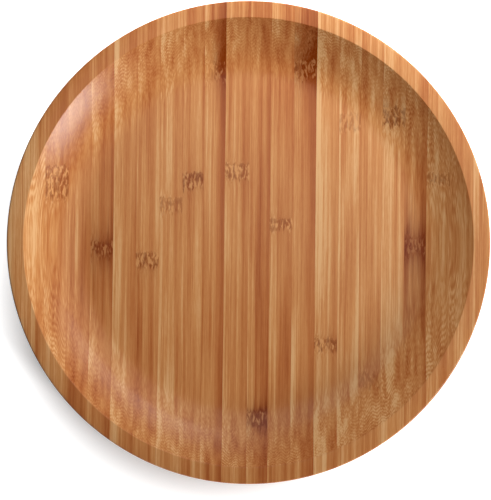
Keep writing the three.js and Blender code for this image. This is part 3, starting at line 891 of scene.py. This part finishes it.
# ---- Tray ----
# One round board of glued bamboo strips, turned on a lathe: a flat rim, a hollow cove and a flat floor.
# Every edge is broken with sandpaper, and the whole is sprayed with satin lacquer.


def turned_tray():
    """Turns the tray from its sizes: the section is a chain of arcs, and each of its points is carried round
    the axis by a grid with one row for each point."""
    lengths = (
        "Radius", "Underside", "Thickness", "Floor Thickness", "Rim Width", "Cove Width", "Bend Radius",
        "Bend Slope", "Arris Radius", "Top Edge Radius", "Lower Edge Radius")
    tree, sizes = shape_tree("Turned tray", {**dict.fromkeys(lengths, "Float"), "Facets": "Int"})

    quarter = math.radians(90)

    # The cove leaves the floor level in a bend, and goes on from it in a flatter arc up to the rim.
    dish = add(tree, "ShaderNodeMath", [sizes["Radius"], sizes["Rim Width"]], operation="SUBTRACT")
    start = add(tree, "ShaderNodeMath", [dish, sizes["Cove Width"]], operation="SUBTRACT")
    bend, slope = sizes["Bend Radius"], sizes["Bend Slope"]
    bend_sine = add(tree, "ShaderNodeMath", [slope], operation="SINE")
    bend_cosine = add(tree, "ShaderNodeMath", [slope], operation="COSINE")
    bend_height = add(tree, "ShaderNodeMath", [sizes["Floor Thickness"], bend], operation="ADD")
    knee = add(tree, "ShaderNodeMath", [bend, bend_sine, start], operation="MULTIPLY_ADD")
    drop = add(tree, "ShaderNodeMath", [bend, bend_cosine], operation="MULTIPLY")
    knee_height = add(tree, "ShaderNodeMath", [bend_height, drop], operation="SUBTRACT")
    run = add(tree, "ShaderNodeMath", [dish, knee], operation="SUBTRACT")
    rise = add(tree, "ShaderNodeMath", [sizes["Thickness"], knee_height], operation="SUBTRACT")
    mean = add(tree, "ShaderNodeMath", [rise, run], operation="ARCTAN2")
    minus_slope = add(tree, "ShaderNodeMath", [0.0, slope], operation="SUBTRACT")
    top_slope = add(tree, "ShaderNodeMath", [mean, 2.0, minus_slope], operation="MULTIPLY_ADD")
    top_sine = add(tree, "ShaderNodeMath", [top_slope], operation="SINE")
    sines = add(tree, "ShaderNodeMath", [top_sine, bend_sine], operation="SUBTRACT")
    wall = add(tree, "ShaderNodeMath", [run, sines], operation="DIVIDE")
    inset = add(tree, "ShaderNodeMath", [wall, bend_sine], operation="MULTIPLY")
    wall_centre = add(tree, "ShaderNodeMath", [knee, inset], operation="SUBTRACT")
    wall_height = add(tree, "ShaderNodeMath", [wall, bend_cosine, knee_height], operation="MULTIPLY_ADD")

    # The arris arc is tangent to the rim and to the cove, and takes a little off the top of the cove.
    arris = add(tree, "ShaderNodeMath", [top_slope, 0.5], operation="MULTIPLY")
    arris = add(tree, "ShaderNodeMath", [arris], operation="TANGENT")
    arris = add(tree, "ShaderNodeMath", [arris, sizes["Arris Radius"]], operation="MULTIPLY")
    lost = add(tree, "ShaderNodeMath", [arris, wall], operation="DIVIDE")
    arris = add(tree, "ShaderNodeMath", [dish, arris], operation="ADD")
    arris_height = add(tree, "ShaderNodeMath", [sizes["Thickness"], sizes["Arris Radius"]],
                       operation="SUBTRACT")
    wall_slope = add(tree, "ShaderNodeMath", [top_slope, lost], operation="SUBTRACT")
    wall_end = add(tree, "ShaderNodeMath", [wall_slope, -quarter], operation="ADD")
    wall_sweep = add(tree, "ShaderNodeMath", [slope, wall_slope], operation="SUBTRACT")
    bend_end = add(tree, "ShaderNodeMath", [slope, -quarter], operation="ADD")
    top = add(tree, "ShaderNodeMath", [sizes["Radius"], sizes["Top Edge Radius"]], operation="SUBTRACT")
    top_height = add(tree, "ShaderNodeMath", [sizes["Thickness"], sizes["Top Edge Radius"]],
                     operation="SUBTRACT")
    lower = add(tree, "ShaderNodeMath", [sizes["Radius"], sizes["Lower Edge Radius"]], operation="SUBTRACT")
    bends = [
        (sizes["Lower Edge Radius"], lower, sizes["Lower Edge Radius"], -quarter, quarter, 10),
        (sizes["Top Edge Radius"], top, top_height, 0.0, quarter, 7),
        (sizes["Arris Radius"], arris, arris_height, quarter, top_slope, 6),
        (wall, wall_centre, wall_height, wall_end, wall_sweep, 22),
        (bend, start, bend_height, bend_end, minus_slope, 14),
    ]

    # The section starts and ends on the axis, and each of its two flats has a point 0.1 m out from it.
    part_way = 0.1
    chain = [add(tree, "GeometryNodeCurvePrimitiveLine", {"Start": (0, 0, 0), "End": (part_way, 0, 0)})]
    for radius, across, up, first, sweep, count in bends:
        curve = add(tree, "GeometryNodeCurveArc", {
            "Resolution": count, "Radius": radius, "Start Angle": first, "Sweep Angle": sweep},
            mode="RADIUS")
        centre = add(tree, "ShaderNodeCombineXYZ", [across, up])
        chain.append(add(tree, "GeometryNodeTransform", {"Geometry": curve, "Translation": centre}))
    flat = add(tree, "ShaderNodeCombineXYZ", [part_way, sizes["Floor Thickness"]])
    middle = add(tree, "ShaderNodeCombineXYZ", [0.0, sizes["Floor Thickness"]])
    chain.append(add(tree, "GeometryNodeCurvePrimitiveLine", {"Start": flat, "End": middle}))
    section = tree.nodes.new("GeometryNodeJoinGeometry")
    for link in reversed(chain):
        tree.links.new(link.outputs[0], section.inputs[0])
    straight_points = 2 * 2
    count = sum(bend[-1] for bend in bends) + straight_points

    # The grid has a vertex for each point of the section at each facet, and one facet more, which closes it.
    around = add(tree, "ShaderNodeMath", [sizes["Facets"], 1.0], operation="ADD")
    grid = add(tree, "GeometryNodeMeshGrid", {"Vertices X": count, "Vertices Y": around})
    number = add(tree, "GeometryNodeInputIndex")
    along = add(tree, "ShaderNodeMath", [number, around], operation="DIVIDE")
    along = add(tree, "ShaderNodeMath", [along], operation="FLOOR")
    facet = add(tree, "ShaderNodeMath", [number, around], operation="MODULO")
    angle = add(tree, "ShaderNodeMath", [facet, sizes["Facets"]], operation="DIVIDE")
    angle = add(tree, "ShaderNodeMath", [angle, 2 * math.pi], operation="MULTIPLY")
    read = add(tree, "GeometryNodeSampleIndex", {
        "Geometry": section, "Index": along, "Value": add(tree, "GeometryNodeInputPosition")},
        data_type="FLOAT_VECTOR")
    found = add(tree, "ShaderNodeSeparateXYZ", [read])
    cosine = add(tree, "ShaderNodeMath", [angle], operation="COSINE")
    sine = add(tree, "ShaderNodeMath", [angle], operation="SINE")
    x = add(tree, "ShaderNodeMath", [found.outputs["X"], cosine], operation="MULTIPLY")
    y = add(tree, "ShaderNodeMath", [found.outputs["X"], sine], operation="MULTIPLY")
    z = add(tree, "ShaderNodeMath", [found.outputs["Y"], sizes["Underside"]], operation="ADD")
    carried = add(tree, "ShaderNodeCombineXYZ", [x, y, z])
    round_form = add(tree, "GeometryNodeSetPosition", {"Geometry": grid, "Position": carried})
    closed = add(tree, "GeometryNodeMergeByDistance", {"Geometry": round_form, "Distance": 0.002 * MM})
    outward = add(tree, "GeometryNodeFlipFaces", [closed])
    return made_real(tree, outward, sizes["Finish"])


tray_low, tray_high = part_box("tray")
tray_bamboo = bamboo("Lacquered caramel bamboo", turn=0.0, dull=0.225)
tray = shaped(piece_of("bamboo_tray"), turned_tray(), {
    "Radius": tray_high.x, "Underside": tray_low.z, "Thickness": tray_high.z - tray_low.z,
    "Floor Thickness": 0.008, "Rim Width": 0.014, "Cove Width": 0.053, "Bend Radius": 0.075,
    "Bend Slope": math.radians(20), "Arris Radius": 0.0015, "Top Edge Radius": 0.0015,
    "Lower Edge Radius": 0.004, "Facets": 360, "Finish": tray_bamboo})
tray_screw_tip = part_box("tray_screw_1")[1].z
shaped(tray, drill_tree, {
    **four_corners, "Hole Radius": PILOT_RADIUS * MM, "Bottom": tray_low.z - 2 * MM,
    "Top": tray_screw_tip + PILOT_PAST_POINT * MM, "Finish": tray_bamboo})

# Its strips from left to right: width, lightness at the left edge, middle and right edge, and the ring. The
# first one starts 6 mm outside the round of the tray.
TRAY_LEFT = -209.2
FIRST_CANE = 1.5
TRAY_STRIPS = [
    (18.9, (1.26, 1.2, 1.13)),
    (19.0, (1.23, 1.16, 1.08)),
    (18.9, (1.05, 0.97, 0.91), (62, 26, -0.3), (0.1, 0.4, 0.1), (10, 8, 0)),
    (18.9, (0.95, 0.9, 0.86)),
    (19.0, (1.13, 0.87, 0.87), (-1, 10, 0.5), (0.75, 0.8, 0.8), (16, 18, 0)),
    (19.4, (1.2, 1.0, 0.94)),
    (19.3, (1.05, 0.95, 0.99), (-10, 12, 0), (0.05, 0.5, 0.15), (8, 12, 0)),
    (19.4, (1.17, 1.07, 1.02), (37, 12, 0), (0.0, 0.25, 0.05), (8, 8, 0)),
    (17.7, (1.1, 1.0, 0.93), (58, 13, -0.2), (0.12, 0.55, 0.12), (3, 8, 0)),
    (18.1, (1.12, 0.95, 0.66), (153, 15, 1.3), (1.1, 0.8, 0.6), (40, 18, 0)),
    (20.6, (1.03, 0.99, 0.89), (66, 12, -0.2), (0.05, 0.4, 0.1), (6, 6, 0)),
    (17.7, (1.07, 0.85, 0.8), (-143, 9, 0.6), (1.3, 0.7, 1.3), (5, 6, 0)),
    (19.3, (1.03, 0.94, 0.91), (20, 10, 0.3), (0.1, 0.35, 0.05), (6, 6, 0)),
    (19.4, (1.12, 0.91, 0.73), (154, 14, 0.6), (1.1, 0.85, 0.75), (40, 20, 0)),
    (19.4, (1.33, 1.05, 0.93), (-81, 10, 0.5), (0.25, 0.45, 0.1), (6, 8, 0)),
    (18.1, (1.24, 1.14, 1.14), (110, 14, 0), (0.0, 0.2, 0.0), (6, 6, 0)),
    (18.5, (0.99, 1.02, 1.05), (-110, 12, 0), (0.0, 0.15, 0.0), (6, 6, 0)),
    (19.4, (1.26, 1.11, 1.11), (115, 14, -0.6), (0.3, 0.5, 0.1), (10, 8, 0)),
    (18.1, (1.05, 1.02, 0.9), (4, 11, 0), (0.9, 1.0, 0.95), (15, 24, 0.3)),
    (19.3, (1.18, 1.11, 1.03), (60, 10, 0), (0.0, 0.25, 0.0), (6, 6, 0)),
    (18.6, (1.12, 1.08, 1.02)),
    (18.6, (1.19, 1.06, 0.98)),
]
tray_strips = []
edge = TRAY_LEFT
for i, (width, tone, *ring) in enumerate(TRAY_STRIPS):
    tray_strips.append(strip_of(edge, width, i + FIRST_CANE, tone, *ring))
    edge += width
lay_strips(tray, 0, tray_strips)
smoothed(tray, 50)
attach(tray, "turntable")
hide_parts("tray")

# ---- Table, light and camera ----
# A table covered with white paper, in a pale room with a dark ceiling. A high soft light at the upper right
# and a low one at the lower right give most of the light and no glare, and the satin lacquer mirrors three
# others: one overhead, one at the side and a long narrow one.

# The paper glows to plain white. Its glow is lower in a painted shadow at the lower left, and under the
# tray.
PAINTED_SHADOW_CENTRE = (-0.027, -0.047, 0)
PAINTED_SHADOW_INNER = 0.154
PAINTED_SHADOW_OUTER = 0.188
PAINTED_SHADOW_GLOW = 0.2
UNDER_TRAY_INNER = 0.195
UNDER_TRAY_OUTER = 0.205
UNDER_TRAY_GLOW = 0.35
table = piece_of("table", [(-6, -6, 0), (6, -6, 0), (6, 6, 0), (-6, 6, 0)], [(0, 1, 2, 3)])
white = bpy.data.materials.new("Matt white paper")
white.use_nodes = True
tree = white.node_tree
tree.nodes.clear()
path = add(tree, "ShaderNodeLightPath")
seen = add(tree, "ShaderNodeMath", [path.outputs["Is Camera Ray"], path.outputs["Is Glossy Ray"]],
           operation="MAXIMUM")
seen = add(tree, "ShaderNodeMath", [seen, path.outputs["Is Transmission Ray"]], operation="MAXIMUM")
place = add(tree, "ShaderNodeTexCoord")
# Painted shadow: the glow drops in a disc whose middle lies towards the lower left.
from_painted_shadow = add(tree, "ShaderNodeVectorMath", [place.outputs["Object"], PAINTED_SHADOW_CENTRE], operation="DISTANCE")
glow_with_painted_shadow = add(tree, "ShaderNodeMapRange", {
    "Value": from_painted_shadow.outputs["Value"], "From Min": PAINTED_SHADOW_INNER, "From Max": PAINTED_SHADOW_OUTER,
    "To Min": PAINTED_SHADOW_GLOW, "To Max": 1.0})
clear_of_tray = add(tree, "ShaderNodeVectorMath", [place.outputs["Object"]], operation="LENGTH")
clear_of_tray = add(tree, "ShaderNodeMapRange", {
    "Value": clear_of_tray.outputs["Value"], "From Min": UNDER_TRAY_INNER, "From Max": UNDER_TRAY_OUTER,
    "To Min": UNDER_TRAY_GLOW, "To Max": 1.0})
glow_with_painted_shadow = add(tree, "ShaderNodeMath", [glow_with_painted_shadow, clear_of_tray], operation="MINIMUM")
glow_with_painted_shadow = add(tree, "ShaderNodeMath", [glow_with_painted_shadow, seen], operation="MULTIPLY")
paper = add(tree, "ShaderNodeBsdfDiffuse", {"Color": linear("#F4F4F4")})
shine = add(tree, "ShaderNodeEmission", {"Strength": glow_with_painted_shadow})
both = add(tree, "ShaderNodeAddShader", [paper, shine])
add(tree, "ShaderNodeOutputMaterial", {"Surface": both})
table.data.materials.append(white)

world = bpy.data.worlds.new("Pale room")
bpy.context.scene.world = world
world.use_nodes = True
tree = world.node_tree
tree.nodes.clear()
path = add(tree, "ShaderNodeLightPath")
mirrored = add(tree, "ShaderNodeMath", [path.outputs["Is Glossy Ray"], path.outputs["Is Transmission Ray"]],
               operation="MAXIMUM")
# Low white walls stand all round, and it is dark above them, so that the lacquer isn't hazy.
ROOM_LIGHT = 0.03
CEILING = 0.04
WALL_TOP = 0.25
direction = add(tree, "ShaderNodeTexCoord")
direction = add(tree, "ShaderNodeSeparateXYZ", [direction.outputs["Generated"]])
walls = add(tree, "ShaderNodeMapRange", {
    "Value": direction.outputs["Z"], "From Max": WALL_TOP, "To Min": 1.0, "To Max": CEILING})
mirrored = add(tree, "ShaderNodeMath", [mirrored, walls], operation="MULTIPLY")
seen = add(tree, "ShaderNodeMath", [path.outputs["Is Camera Ray"], mirrored], operation="MAXIMUM")
level = add(tree, "ShaderNodeMath", [seen, ROOM_LIGHT], operation="MAXIMUM")
room = add(tree, "ShaderNodeBackground", {"Color": (1, 1, 1, 1), "Strength": level})
add(tree, "ShaderNodeOutputWorld", {"Surface": room})


def window(name, bearing, tilt, distance, width, height, power, mirrored=True):
    """A soft light that faces the tray, at a bearing from the right and a tilt from straight above, both in
    degrees, with its sizes in metres. One that isn't mirrored leaves no glare on the lacquer."""
    light = bpy.data.lights.new(name, "AREA")
    light.shape = "RECTANGLE"
    light.size = width
    light.size_y = height
    light.energy = power
    lamp = bpy.data.objects.new(name, light)
    lamp.visible_glossy = mirrored
    bearing, tilt = math.radians(bearing), math.radians(tilt)
    level = math.sin(tilt)
    towards = Vector((level * math.cos(bearing), level * math.sin(bearing), math.cos(tilt)))
    lamp.location = towards * distance
    lamp.rotation_euler = towards.to_track_quat("Z", "Y").to_euler()
    bpy.context.scene.collection.objects.link(lamp)


window("high_window", 71.5, 65, 0.82, 0.12, 0.12, 8.0, mirrored=False)
window("low_window", -42, 73.5, 4.6, 0.8, 0.8, 207.0, mirrored=False)
window("overhead_window", 63, 20, 1.08, 0.73, 0.73, 0.85)
window("side_window", -32, 47.5, 4.0, 1.0, 1.0, 27.0)
window("far_window", 52, 32, 1.5, 0.8, 0.2, 0.9)

# The camera looks almost straight down. The tray fills the frame and sits a little above its middle.
CAMERA_TILT = 2.0
CAMERA_ROLL = 0.65
CAMERA_DISTANCE = 2.0
OFF_CENTRE = (-0.0024, -0.0071)
TRAY_SHARE = 0.9684
SENSOR_WIDTH = 36.0
camera = bpy.data.objects.new("camera", bpy.data.cameras.new("camera"))
bpy.context.scene.collection.objects.link(camera)
bpy.context.scene.camera = camera
tilt = math.radians(CAMERA_TILT)
view = Vector((0, -math.sin(tilt), math.cos(tilt)))
aim = Vector((*OFF_CENTRE, tray_high.z))
camera.location = aim + view * CAMERA_DISTANCE
facing = Quaternion(view, math.radians(CAMERA_ROLL)) @ view.to_track_quat("Z", "Y")
camera.rotation_mode = "QUATERNION"
camera.rotation_quaternion = facing
camera.data.sensor_width = SENSOR_WIDTH
camera.data.lens = TRAY_SHARE * SENSOR_WIDTH * CAMERA_DISTANCE / (tray_high.x - tray_low.x)
camera.data.clip_end = 20.0

bpy.context.scene.view_settings.view_transform = "Standard"


def plain(box):
    """A box as plain lists of numbers."""
    return [list(map(float, corner)) for corner in box]
